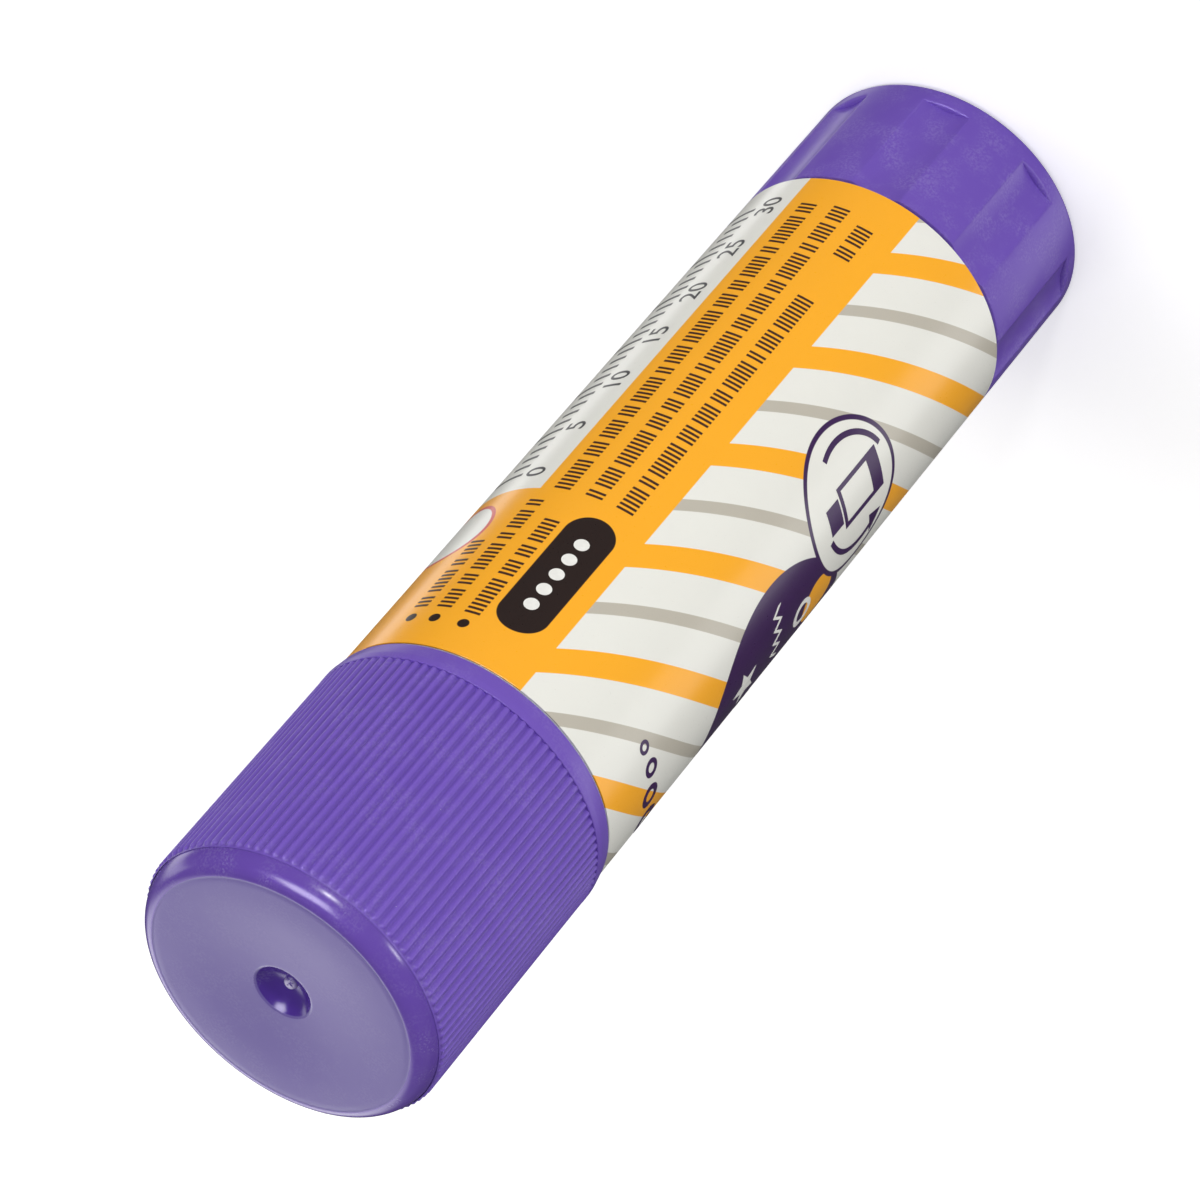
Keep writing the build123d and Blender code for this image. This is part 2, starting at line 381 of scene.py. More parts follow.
def capFinish(tree, look, place, tone, colour, rough):
    # ribs with paler crests and darker valleys, as painted sheen and painted shade; a polished edge and dimple, both
    # painted darker as painted shade; the gate's stub, pale partly from its torn break and partly as a painted
    # highlight; and a paler, spark-eroded end face, partly its own matte finish and partly painted sheen
    spot = useGroup(tree, roundGroup, place)
    radius, rise = spot["Radius"], spot["Rise"]
    soft, sharp = look["softBlur"], look["sharpBlur"]

    def within(reach, blur):
        return ramp(radius, reach + blur, reach - blur) * (rise > look["roof"] + soft)

    # painted shade and sheen: the rib valleys are darkened and the crests made paler
    low, high = look["ribShadeAndSheen"]
    crest = field(tree, "ShaderNodeMapRange", radius, look["ribFoot"], look["ribFoot"] + look["ribHeight"],
                  low - 1, high - 1)
    onRibs = ramp(rise, look["bandTop"], look["bandTop"] + soft) * ramp(rise, look["ribTip"], look["ribTip"] - soft)
    onRibs = onRibs * (radius > look["ribFoot"] - soft)
    colour = tinted(colour, crest * onRibs + 1)
    # painted shade: the polished edge gets a darker colour standing in for its dark reflections
    onEdge = ramp(rise, look["edgeFoot"] - soft, look["edgeFoot"] + soft)
    colour = blend(onEdge, colour, tinted(look["shadedEdgeColour"], tone))
    rough = onEdge * (look["edgeRoughness"] - look["roughness"]) + rough
    # the end face's paler colour is partly its own matte finish and partly painted sheen
    onFace = onEdge * ramp(radius, look["faceEnd"] + sharp, look["faceEnd"] - sharp)
    colour = blend(onFace, colour, tinted(look["face"], tone))
    rough = onFace * (look["faceRoughness"] - look["edgeRoughness"]) + rough
    rough = within(*look["lipReach"]) * (look["dimpleRoughness"] - rough) + rough
    # painted shade: the dimple's hollow is coloured dark
    colour = blend(within(look["dimpleShadeReach"], sharp), colour, tinted(look["shadedDimpleColour"], tone))
    # the stub's pale colour is partly a stress-whitened break and partly a painted highlight
    stub = within(*look["stubReach"]) * ramp(noise(place, look["tornSize"], 3), *look["torn"])
    return blend(stub, colour, look["stubWhiteAndHighlight"]), stub * look["stubRough"] + rough


# Turned pieces: a profile, spun by Geometry Nodes, with ribs, flutes, keys or a thread raised on it

roundingStep = 15  # degrees between the rows of a rounded corner


def roundedCorner(here, before, after, bend):
    # short arc in place of a corner
    before, after = (before - here).normalized(), (after - here).normalized()
    opening = acos(max(-1, min(1, before.dot(after))))
    middle = here + (before + after).normalized() * bend / sin(opening / 2)
    start = here + before * bend / tan(opening / 2) - middle
    sweep = pi - opening
    way = 1 if before.x * after.y - before.y * after.x < 0 else -1
    count = max(2, round(sweep / radians(roundingStep)))
    turns = [way * sweep * step / count for step in range(count + 1)]
    return [middle + Vector((start.x * cos(turn) - start.y * sin(turn), start.x * sin(turn) + start.y * cos(turn)))
            for turn in turns]


def roundedRows(profile):
    # a corner is (radius, height, bend, share, steps, second): bend rounds it, share and second say how much
    # of each relief it takes, and steps divides the run after it
    corners = [tuple(one) + (0, 0, 1, 0)[len(one) - 2:] for one in profile]
    places = [Vector(one[:2]) for one in corners]
    rows = []
    for index, (radius, height, bend, share, steps, second) in enumerate(corners):
        made = [places[index]]
        if bend > 0 and 0 < index < len(corners) - 1:
            made = roundedCorner(places[index], places[index - 1], places[index + 1], bend)
        made += [made[-1].lerp(places[index + 1], step / steps) for step in range(1, steps)]
        rows += [(spot, (share, second)) for spot in made]
    return rows


def profileMesh(name, profile):
    rows = roundedRows(profile)
    mesh = bpy.data.meshes.new(name)
    mesh.from_pydata([(spot.x * mm, 0, spot.y * mm) for spot, marks in rows], [], [])
    for index, label in enumerate(("share", "second")):
        layer = mesh.attributes.new(label, "FLOAT", "POINT")
        layer.data.foreach_set("value", [marks[index] for spot, marks in rows])
    return mesh


def wrapped(angle, count, turn=0):
    # angle from the nearest of count places round the axis, in radians
    half = pi / count
    return maths("WRAP", angle - turn, half, half * -1)


def ribRelief(given, angle, radius, height):
    arc = abs(wrapped(angle, given["Rib count"]) * radius)
    half = given["Rib width"] * 0.5
    past = maths("MAXIMUM", height - (given["Rib tip"] - half), 0)
    away = maths("SQRT", arc * arc + past * past)
    return ramp(away, half, half * given["Rib crest"]) * given["Rib height"]


def fluteRelief(given, angle, radius, height):
    away = wrapped(angle, given["Flute count"], given["Flute turn"])
    bend = given["Flute radius"]
    reach = radius - given["Flute depth"] + bend
    aside = reach * maths("SINE", away)
    inside = maths("MAXIMUM", bend * bend - aside * aside, 0)
    wall = reach * maths("COSINE", away) - maths("SQRT", inside)
    return maths("SMOOTH_MIN", wall - radius, 0, given["Flute lip"])


def keyRelief(given, angle, radius, height):
    arc = abs(wrapped(angle, given["Key count"]) * radius)
    half, soft = given["Key width"] * 0.5, given["Key softness"]
    return ramp(arc, half + soft, half - soft) * given["Key height"]


def threadRelief(given, angle, radius, height):
    # left-hand thread: the groove goes down as the angle grows
    turns = height / given["Lead"] + angle / (2 * pi)
    wave = abs(maths("FRACT", turns * given["Starts"]) - 0.5) * 2
    return ramp(wave, 0.3, 0.62) * given["Thread depth"] * -1


reliefInputs = {
    ribRelief: ("Rib count", "Rib width", "Rib height", "Rib tip", "Rib crest"),
    fluteRelief: ("Flute count", "Flute radius", "Flute depth", "Flute turn", "Flute lip"),
    keyRelief: ("Key count", "Key width", "Key height", "Key softness"),
    threadRelief: ("Lead", "Starts", "Thread depth"),
}


def paintedPiece(tree, shape, given, out):
    whole = field(tree, "GeometryNodeRealizeInstances", shape)
    connect(field(tree, "GeometryNodeSetMaterial", whole, None, given["Finish"]), out["Piece"])


def turningTree(name, *reliefs):
    inputs = [("Profile", "Geometry"), ("Columns", "Int"), ("Sharp angle", "Float"), ("Finish", "Material")]
    inputs += [label for relief in reliefs for label in reliefInputs[relief]]
    tree, given, out = newTree(name, "GeometryNodeTree", inputs, [("Piece", "Geometry")])
    rows = field(tree, "GeometryNodeAttributeDomainSize", given["Profile"], give="Point Count", component="MESH")
    grid = field(tree, "GeometryNodeMeshGrid", 1, 1, given["Columns"] + 1, rows)
    index = field(tree, "GeometryNodeInputIndex")
    column = maths("FLOOR", index / rows)
    row = index - column * rows

    def fromRow(kind, value):
        return field(tree, "GeometryNodeSampleIndex", given["Profile"], value, row, data_type=kind)

    radius, unused, height = axesOf(fromRow("FLOAT_VECTOR", field(tree, "GeometryNodeInputPosition")))
    angle = column / given["Columns"] * (2 * pi)
    raised = radius
    for relief, label in zip(reliefs, ("share", "second")):
        mark = field(tree, "GeometryNodeInputNamedAttribute", label, data_type="FLOAT")
        raised = relief(given, angle, radius, height) * fromRow("FLOAT", mark) + raised
    across, along = raised * maths("COSINE", angle), raised * maths("SINE", angle)
    place = field(tree, "ShaderNodeCombineXYZ", across, along, height)
    spun = field(tree, "GeometryNodeSetPosition", grid, None, place)
    merged = field(tree, "GeometryNodeMergeByDistance", spun, None, 0.0005 * mm)
    smooth = field(tree, "GeometryNodeSetShadeSmooth", merged, None, True)
    bend = field(tree, "GeometryNodeInputMeshEdgeAngle", give="Unsigned Angle")
    sharp = field(tree, "GeometryNodeSetShadeSmooth", smooth, bend > given["Sharp angle"], False, domain="EDGE")
    paintedPiece(tree, sharp, given, out)
    return tree


def evaluatedMesh(holder):
    return bpy.data.meshes.new_from_object(holder.evaluated_get(bpy.context.evaluated_depsgraph_get()))


def runTree(name, mesh, tree, values, material):
    # runs a tree on a mesh and keeps the result as a plain mesh at the origin
    holder = addObject(name + "Source", mesh)
    modifier = holder.modifiers.new("build", "NODES")
    modifier.node_group = tree
    values = {**values, "Finish": material}
    for item in tree.interface.items_tree:
        if item.item_type == "SOCKET" and item.in_out == "INPUT" and item.name in values:
            modifier[item.identifier] = values[item.name]
    result = evaluatedMesh(holder)
    result.name = name
    holder.modifiers.remove(modifier)
    bpy.data.objects.remove(holder)
    bpy.data.meshes.remove(mesh)
    return addObject(name, result)


def turn(name, profile, tree, columns, values, material, sharp=40):
    given = {"Columns": columns, "Sharp angle": radians(sharp), **values}
    return runTree(name, profileMesh(name + "Profile", profile), tree, given, material)


def fit(piece, body, slotName, *nodes):
    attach(piece, body)
    if nodes:
        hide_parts(*nodes)
    print(piece.name, "made,", len(piece.data.polygons), "faces")


purple = (0.153, 0.078, 0.462, 1)
ribbedTree = turningTree("ribbedTurning", ribRelief)
flutedTree = turningTree("flutedTurning", fluteRelief)
keyedTree = turningTree("keyedTurning", keyRelief, threadRelief)
threadedTree = turningTree("threadedTurning", threadRelief)


# Cap

capLook = {
    "rim": 62.9, "top": 84.0, "radius": 10.55,
    "lip": 0.2, "bandTop": 64.55, "bandStraight": 0.5,
    "ribs": 100, "ribHeight": 0.18, "ribFoot": 10.36, "ribWidth": 0.62, "ribCrest": 0.2, "ribTip": 82.66,
    "ring": 10.34, "edgeWidth": 1.26, "edgeHeight": 1.75, "faceRadius": 9.08, "faceEnd": 9.12,
    "sink": 0.35, "sinkRadius": 8.0,
    "dimple": 1.93, "dimpleDepth": 0.9, "gate": 0.45, "gateHeight": 0.24, "lipRound": 0.3, "lipWidth": 0.19,
    "bore": 9.39, "step": 73.1, "upper": 8.79, "roof": 82.5, "inCorner": 1.0,
    "groove": 67.9, "grooveWidth": 1.0, "grooveDepth": 0.1,
    "columnsPerRib": 8, "edgeRows": 14, "faceRows": 16, "lipRows": 6, "bowlRows": 14,
    "colour": purple, "roughness": 0.36, "glossChange": 0.12, "flow": 0.06, "bump": 0.05, "bumpReach": 0.02,
    "dust": 0.8, "scuff": 0.05,
    # the end face's paler colour is partly painted sheen
    # the rib tones below paint shade into the rib valleys and sheen onto the crests
    "face": (0.134, 0.097, 0.330, 1), "faceRoughness": 0.42, "ribShadeAndSheen": (0.86, 1.07),
    # the edge's darker colour is painted shade
    "edgeFoot": 82.75, "shadedEdgeColour": (0.118, 0.056, 0.365, 1), "edgeRoughness": 0.2,
    # the dimple's dark colour is painted shade
    # the stub's pale colour is partly its whitened break and partly a painted highlight
    "shadedDimpleColour": (0.055, 0.017, 0.24, 1), "dimpleRoughness": 0.2, "stubWhiteAndHighlight": (0.52, 0.47, 0.68, 1),
    "softBlur": 0.1, "sharpBlur": 0.03,  # mm, how far the finishes run into each other
    "lipReach": (2.082, 0.05), "dimpleShadeReach": 1.92, "stubReach": (0.43, 0.08),  # mm from the axis, and the blur
    "tornSize": 0.3, "torn": (0.32, 0.52), "stubRough": 0.15,
}


def arc(x, y, width, height, start, end, steps):
    # places on an ellipse, with its angles in radians
    turns = [start + (end - start) * step / steps for step in range(steps + 1)]
    return [(x + width * cos(turn), y + height * sin(turn)) for turn in turns]


def capInside(look):
    bore, low, roof = look["bore"], look["rim"], look["roof"]
    groove, half = look["groove"], look["grooveWidth"] / 2
    deep, ease = bore + look["grooveDepth"], 0.1
    return [
        (0, roof),
        (look["upper"] - look["inCorner"], roof, 0.4),
        (look["upper"], roof - look["inCorner"], 0.4),
        (look["upper"], look["step"], 0.06),
        (bore, look["step"], 0.06),
        (bore, groove + half + ease),
        (deep, groove + half),
        (deep, groove - half),
        (bore, groove - half - ease),
        (bore, low, 0.15),
    ]


def capFace(look):
    # the end face sinks round its middle and has a dimple with a rounded lip and the gate's stub in it
    def faceHeight(reach):
        return look["top"] - look["sink"] * max(0, 1 - (reach / look["sinkRadius"]) ** 2) ** 2

    outer, lip, rows = look["faceRadius"] - 0.12, look["dimple"] + look["lipWidth"], look["faceRows"]
    reaches = [outer + (lip - outer) * step / rows for step in range(rows + 1)]
    face = [(look["faceRadius"] - 0.06, look["top"] - 0.015)] + [(reach, faceHeight(reach)) for reach in reaches]
    bend = look["lipRound"]
    swing = asin(look["lipWidth"] / bend)
    face += arc(lip, faceHeight(lip) - bend, bend, bend, pi / 2, pi / 2 + swing, look["lipRows"])[1:-1]
    depth, dimple, gate = look["dimpleDepth"], look["dimple"], look["gate"]
    ball = (dimple ** 2 + depth ** 2) / (2 * depth)
    bottom = faceHeight(lip) - bend * (1 - cos(swing)) - depth
    for place in arc(0, bottom + ball, ball, ball, asin(dimple / ball) - pi / 2, -pi / 2, look["bowlRows"]):
        face.append(place)
        if place[0] < gate + 0.1:
            break
    stub = face[-1][1] + look["gateHeight"]
    return face + [(gate - 0.1, stub, 0.18), (0, stub + 0.05)]


def makeCap(look):
    radius, foot, top = look["radius"], look["ribFoot"], look["top"]
    bandTop, ribTip, ring = look["bandTop"], look["ribTip"], look["ring"]
    profile = capInside(look) + [
        (radius - look["lip"], look["rim"], 0.2),
        (radius, bandTop - look["bandStraight"], 0.6),
        (radius, bandTop, 0.06),
        (foot, bandTop + 0.01),
        (foot, bandTop + 0.05, 0, 1),
        (foot, ribTip - 0.45, 0, 1, 9),
        (foot, ribTip + 0.02, 0, 1),
        (ring, ribTip + 0.06),
    ]
    width, height = look["edgeWidth"], look["edgeHeight"]
    profile += arc(ring - width, top - height, width, height, 0, pi / 2, look["edgeRows"]) + capFace(look)
    values = {"Rib count": float(look["ribs"]), "Rib width": look["ribWidth"] * mm,
              "Rib height": look["ribHeight"] * mm, "Rib tip": ribTip * mm, "Rib crest": look["ribCrest"]}
    finish = plasticMaterial("capPlastic", look)
    piece = turn("capShell", profile, ribbedTree, look["ribs"] * look["columnsPerRib"], values, finish, 50)
    fit(piece, "cap_body", "cap", "cap")


makeCap(capLook)


# Knob

knobLook = {
    "height": 11.5, "radius": 10.3, "wall": 1.5, "floor": 1.7, "edge": 0.5,
    "flutes": 8, "fluteRadius": 5.6, "fluteDepth": 0.45, "fluteFoot": 1.5, "fluteTurn": 24, "fluteLip": 0.04,
    "footRing": 2.4, "footRecess": 0.4,
    "hub": 4.2, "bead": 4.55, "beadFoot": 13.4, "beadTop": 14.4, "hubTop": 14.7, "lead": 0.3, "socket": 2.42,
    "slot": 0.8, "slotDepth": 5.6,
    "columns": 640,
    "colour": (0.142, 0.072, 0.432, 1), "roughness": 0.32, "glossChange": 0.14, "flow": 0.06, "bump": 0.06,
    "bumpReach": 0.02, "dust": 0.6, "scuff": 0.08,
}


def makeKnob(look):
    radius, top, floor, hub = look["radius"], look["height"], look["floor"], look["hub"]
    foot, recess = look["fluteFoot"], radius - look["footRing"]
    ledge = ((-0.3, 0), (-0.18, 0.05), (-0.09, 0.16), (-0.03, 0.38), (0, 0.66), (0.01, 1))  # rise and share
    profile = [
        (0, look["footRecess"]),
        (recess, look["footRecess"], 0.15),
        (recess, 0, 0.12),
        (radius, 0, look["edge"]),
        *((radius, foot + rise, 0, share) for rise, share in ledge),
        (radius, top - 0.12, 0, 1),
        (radius - 0.03, top - 0.03, 0, 1),
        (radius - 0.12, top, 0, 1),
        (radius - look["wall"], top, 0.1),
        (radius - look["wall"], floor, 0.4),
        (hub, floor, 0.3),
        (hub, look["beadFoot"], 0.03),
        (look["bead"], look["beadFoot"], 0.05),
        (look["bead"], look["beadTop"], 0.1),
        (hub - look["lead"], look["hubTop"], 0.1),
        (look["socket"], look["hubTop"], 0.1),
        (look["socket"], floor, 0.05),
        (0, floor),
    ]
    values = {"Flute count": float(look["flutes"]), "Flute radius": look["fluteRadius"] * mm,
              "Flute depth": look["fluteDepth"] * mm, "Flute turn": radians(look["fluteTurn"]),
              "Flute lip": look["fluteLip"] * mm}
    piece = turn("knobWheel", profile, flutedTree, look["columns"], values, plasticMaterial("knobPlastic", look))
    cutSlots(piece, look)
    fit(piece, "knob_body", "knob", "knob")


def meshFrom(name, built):
    mesh = bpy.data.meshes.new(name)
    built.to_mesh(mesh)
    built.free()
    return mesh


def cutSlots(piece, look):
    # two crossed bars split the hub into four tongues
    cutter = bmesh.new()
    low, high = look["hubTop"] - look["slotDepth"], look["hubTop"] + 1
    reach, slot = look["bead"] + 1, look["slot"] / 2
    for width, depth in ((reach, slot), (slot, reach)):
        made = bmesh.ops.create_cube(cutter, size=1)["verts"]
        bmesh.ops.scale(cutter, vec=Vector((2 * width, 2 * depth, high - low)) * mm, verts=made)
        bmesh.ops.translate(cutter, vec=Vector((0, 0, (low + high) / 2)) * mm, verts=made)
    bars = addObject("slotCutter", meshFrom("slotCutter", cutter))
    modifier = piece.modifiers.new("slots", "BOOLEAN")
    modifier.object, modifier.operation, modifier.solver = bars, "DIFFERENCE", "EXACT"
    modifier.use_self = True
    result = evaluatedMesh(piece)
    piece.modifiers.remove(modifier)
    piece.data = result
    bpy.data.objects.remove(bars)


makeKnob(knobLook)


# Barrel, spindle and carrier: white mouldings

whiteLook = {"colour": (0.84, 0.84, 0.82, 1), "roughness": 0.38, "glossChange": 0.1, "flow": 0.03, "bump": 0.1,
             "bumpReach": 0.02, "sockets": {"Subsurface Weight": 0.15, "Subsurface Scale": 0.002}}
whitePlastic = plasticMaterial("whitePlastic", whiteLook)

barrelLook = {
    "foot": 11.65, "floorTop": 13.25, "hole": 4.26, "radius": 10.2, "shoulder": 62.8, "neck": 9.13, "mouth": 73.0,
    "bead": 67.9, "beadWidth": 1.0, "beadHeight": 0.2, "bore": 8.33,
    "keys": 4, "keyWidth": 1.0, "keyHeight": 0.45, "keyTop": 71.5, "keySoftness": 0.08,
    "columns": 600,
}


def keyValues(look):
    return {"Key count": float(look["keys"]), "Key width": look["keyWidth"] * mm,
            "Key height": -look["keyHeight"] * mm, "Key softness": look["keySoftness"] * mm}


def threadValues(look):
    return {"Lead": look["lead"] * mm, "Starts": float(look["starts"]), "Thread depth": look["depth"] * mm}


def makeBarrel(look):
    radius, shoulder, neck, mouth = look["radius"], look["shoulder"], look["neck"], look["mouth"]
    foot, hole, bore, proud = look["foot"], look["hole"], look["bore"], look["beadHeight"]
    beadLow, beadHigh = look["bead"] - look["beadWidth"] / 2, look["bead"] + look["beadWidth"] / 2
    profile = [
        (hole, foot),
        (radius, foot, 0.15),
        (radius, shoulder, 0.12),
        (neck, shoulder, 0.12),
        (neck, beadLow - proud, 0.1),
        (neck + proud, beadLow, 0.1),
        (neck + proud, beadHigh, 0.1),
        (neck, beadHigh + proud, 0.1),
        (neck, mouth, 0.2),
        (bore, mouth, 0.12),
        (bore, look["keyTop"] + 0.06),
        (bore, look["keyTop"], 0, 1),
        (bore, look["floorTop"], 0, 1),
        (hole, look["floorTop"]),
        (hole, foot),
    ]
    piece = turn("barrelTube", profile, keyedTree, look["columns"], keyValues(look), whitePlastic)
    fit(piece, "barrel_body", "barrel", "barrel")


spindleLook = {
    "foot": 1.7, "root": 2.4, "seat": 14.7, "flange": 3.7, "flangeTop": 15.5, "radius": 3.0, "top": 62.0, "tip": 0.8,
    "lead": 6.0, "starts": 2, "depth": 0.55, "rowsAlong": 180, "columns": 56,
}


def makeSpindle(look):
    root, seat, flange, rest = look["root"], look["seat"], look["flange"], look["flangeTop"]
    radius, tip = look["radius"], look["top"] - look["tip"]
    profile = [
        (0, look["foot"]),
        (root, look["foot"], 0.2),
        (root, seat, 0.05),
        (flange, seat, 0.1),
        (flange, rest, 0.15),
        (radius, rest, 0.1),
        (radius, rest + 0.6),
        (radius, rest + 0.9, 0, 1, look["rowsAlong"]),
        (radius, tip - 0.4, 0, 1),
        (radius, tip - 0.1),
        (radius, tip, 0.2),
        (radius - look["tip"], look["top"], 0.15),
        (0, look["top"]),
    ]
    piece = turn("spindleScrew", profile, threadedTree, look["columns"], threadValues(look), whitePlastic)
    fit(piece, "knob_body", "spindle", "spindle")


carrierLook = {
    "foot": 16.05, "floor": 18.65, "inside": 20.05, "rim": 27.05, "radius": 8.25, "inner": 7.35, "lip": 0.4,
    "nut": 4.76, "nutFoot": 15.65, "nutTop": 22.65, "bore": 3.1,
    "keys": 4, "keyWidth": 1.3, "keyHeight": 0.52, "keySoftness": 0.08, "nutRows": 28, "columns": 480,
}


def makeCarrier(look):
    bore, nut, inner, radius = look["bore"], look["nut"], look["inner"], look["radius"]
    foot, rim, nutFoot, nutTop = look["foot"], look["rim"], look["nutFoot"], look["nutTop"]
    profile = [
        (bore, nutFoot),
        (nut, nutFoot, 0.2),
        (nut, look["floor"], 0.2),
        (inner, look["floor"], 0.2),
        (inner, foot, 0.1),
        (radius, foot, 0.12, 1),
        (radius, rim, 0.12, 1),
        (inner + look["lip"], rim, 0.05),
        (inner, rim - look["lip"], 0.1),
        (inner, look["inside"], 0.3),
        (nut, look["inside"], 0.3),
        (nut, nutTop, 0.2),
        (bore, nutTop),
        (bore, nutTop - 0.5, 0, 0, look["nutRows"], 1),
        (bore, nutFoot + 0.5, 0, 0, 1, 1),
        (bore, nutFoot),
    ]
    values = {**keyValues(look), **threadValues(spindleLook)}
    piece = turn("carrierCup", profile, keyedTree, look["columns"], values, whitePlastic)
    fit(piece, "carrier_body", "carrier", "carrier")


makeBarrel(barrelLook)
makeSpindle(spindleLook)
makeCarrier(carrierLook)


# Glue

glueLook = {
    "foot": 20.05, "cupRim": 27.05, "inCup": 7.33, "radius": 7.88, "top": 68.0, "edge": 0.6, "hollow": 0.12,
    "nutHole": 4.78, "nutTop": 22.65, "bore": 3.45, "boreTop": 62.6,
    "keys": 4, "keyWidth": 1.9, "keyHeight": 0.45, "keySoftness": 0.15, "columns": 360,
    "colour": (0.86, 0.85, 0.79, 1), "cloud": 3, "fine": 0.3, "toneChange": 0.08, "glossChange": 0.2,
    "roughness": 0.3, "cloudHeight": 2, "fineHeight": 0.3, "bump": 0.3, "bumpReach": 0.05,
    "sockets": {"Subsurface Weight": 0.3, "Subsurface Scale": 0.003},
}


def makeGlue(look):
    foot, nutHole, bore = look["foot"], look["nutHole"], look["bore"]
    top, middle = look["top"], look["top"] - look["hollow"]
    profile = [
        (0, look["boreTop"]),
        (bore, look["boreTop"], 0.3),
        (bore, look["nutTop"], 0.05),
        (nutHole, look["nutTop"]),
        (nutHole, foot),
        (look["inCup"], foot),
        (look["inCup"], look["cupRim"]),
        (look["radius"], look["cupRim"], 0, 1),
        (look["radius"], top, look["edge"], 1),
        (0.6, middle, 1.0),
        (0, middle),
    ]
    finish = cloudedMaterial("waxyGlue", look, look["colour"])
    piece = turn("glueColumn", profile, keyedTree, look["columns"], keyValues(look), finish)
    fit(piece, "carrier_body", "glue", "glue")


makeGlue(glueLook)


# Label: film with its print. Places on it are arc and height in mm, the arc counted from -Y towards +X

labelLook = {
    "radius": 10.3, "inner": 10.2, "low": 11.75, "high": 62.77, "ease": 0.03, "columns": 512,
    "seam": 115, "slit": 0.3,  # the film's ends meet at this angle from -Y towards +X, this far apart in mm
    "white": (0.80, 0.795, 0.735, 1), "orange": (0.965, 0.42, 0.01, 1), "grey": (0.50, 0.465, 0.39, 1),
    "darkPurple": (0.040, 0.008, 0.080, 1), "black": (0.020, 0.009, 0.007, 1), "red": (0.62, 0.06, 0.05, 1),
    "stripes": (0.925, 10.70), "orangeStripe": (60.2865, 2.4), "greyStripe": (54.3515, 1.19),
    "panelLeft": 0.76, "panelRight": 9.19, "stripTop": 46.77, "farSide": 24,
    "field": (-16.7, 41.7, 9.0), "fieldDot": (-13.2, 36.2, 1.85),
    "badge": (-8.43, 31.2, 5.36), "badgeLine": 0.36,
    "seal": (13.8, 50.8, 3.0), "sealLine": 0.3,
    "pill": (3.755, 53.675, 3.44, 11.15),
    "dots": ((10.54, 60.2), (8.65, 60.2), (6.51, 60.2)), "dotRadius": 0.39,
    "cloud": 2.5, "fine": 0.12, "toneChange": 0.03, "glossChange": 0.12, "roughness": 0.24,
    "cloudHeight": 1.5, "fineHeight": 0.2, "bump": 0.15, "bumpReach": 0.03,
    "sockets": {"Coat Weight": 0.15, "Coat Roughness": 0.12},
}


def labelMaterial(look):
    material, shader, place = newMaterial("printedFilm")
    tree = material.node_tree
    across, up, unused = axesOf(field(tree, "ShaderNodeUVMap", uv_map="printMap"))
    painted = [look["white"]]

    def paint(mask, colour):
        painted.append(blend(mask, painted[-1], look[colour]))

    def box(middle, rise, width, height, roundness=0.0):
        return useGroup(tree, boxGroup, across, up, middle, rise, width, height, roundness)["Mask"]

    def disc(middle, rise, radius):
        return box(middle, rise, 2 * radius, 2 * radius, radius)

    def outlined(middle, rise, radius, line, colour):
        paint(disc(middle, rise, radius), colour)
        paint(disc(middle, rise, radius - line), "white")

    for colour in ("orange", "grey"):
        paint(useGroup(tree, stripeGroup, across, up, *look["stripes"], *look[colour + "Stripe"])["Mask"], colour)
    paint(disc(*look["field"]), "darkPurple")
    paint(disc(*look["fieldDot"]), "orange")
    outlined(*look["badge"], look["badgeLine"], "darkPurple")
    low, high, far = look["low"] - 2, look["high"] + 2, look["farSide"]  # past the film's edges
    for left, above, colour in ((look["panelLeft"], high, "orange"), (look["panelRight"], look["stripTop"], "white")):
        paint(box((left + far) / 2, (low + above) / 2, far - left, above - low), colour)
    outlined(*look["seal"], look["sealLine"], "red")
    paint(box(*look["pill"], look["pill"][2] / 2), "black")
    for middle, rise in look["dots"]:
        paint(disc(middle, rise, look["dotRadius"]), "black")
    cloudedFinish(shader, place, look, painted[-1])
    return material


def makeLabel(look):
    outer, inner, low, high, ease = (look[one] for one in ("radius", "inner", "low", "high", "ease"))
    rows = [(inner, low), (outer - ease, low), (outer, low + ease), (outer, high - ease), (outer - ease, high),
            (inner, high)]
    opening = look["slit"] / 2 / outer
    start, sweep = radians(look["seam"]) + opening - 2 * pi, 2 * pi - 2 * opening
    count = look["columns"]
    built = bmesh.new()
    layer = built.loops.layers.uv.new("printMap")
    columns, printPlace = [], {}
    for step in range(count + 1):
        angle = start + sweep * step / count
        column = [built.verts.new((radius * sin(angle) * mm, -radius * cos(angle) * mm, rise * mm))
                  for radius, rise in rows]
        printPlace.update((vertex, (angle * outer, rise)) for vertex, (radius, rise) in zip(column, rows))
        columns.append(column)
    for here, after in zip(columns, columns[1:]):
        for row in range(len(rows)):
            above = (row + 1) % len(rows)
            built.faces.new((here[row], after[row], after[above], here[above])).smooth = True
    built.faces.new(list(reversed(columns[0])))
    built.faces.new(columns[-1])
    bmesh.ops.recalc_face_normals(built, faces=built.faces)
    for face in built.faces:
        for loop in face.loops:
            loop[layer].uv = printPlace[loop.vert]
    for edge in built.edges:
        edge.smooth = edge.calc_face_angle(0) < radians(30)
    mesh = meshFrom("labelFilm", built)
    mesh.materials.append(labelMaterial(look))
    fit(addObject("labelFilm", mesh), "barrel_body", "label", "label")


makeLabel(labelLook)


# Small print: thin flat shapes, wrapped round the label by Geometry Nodes

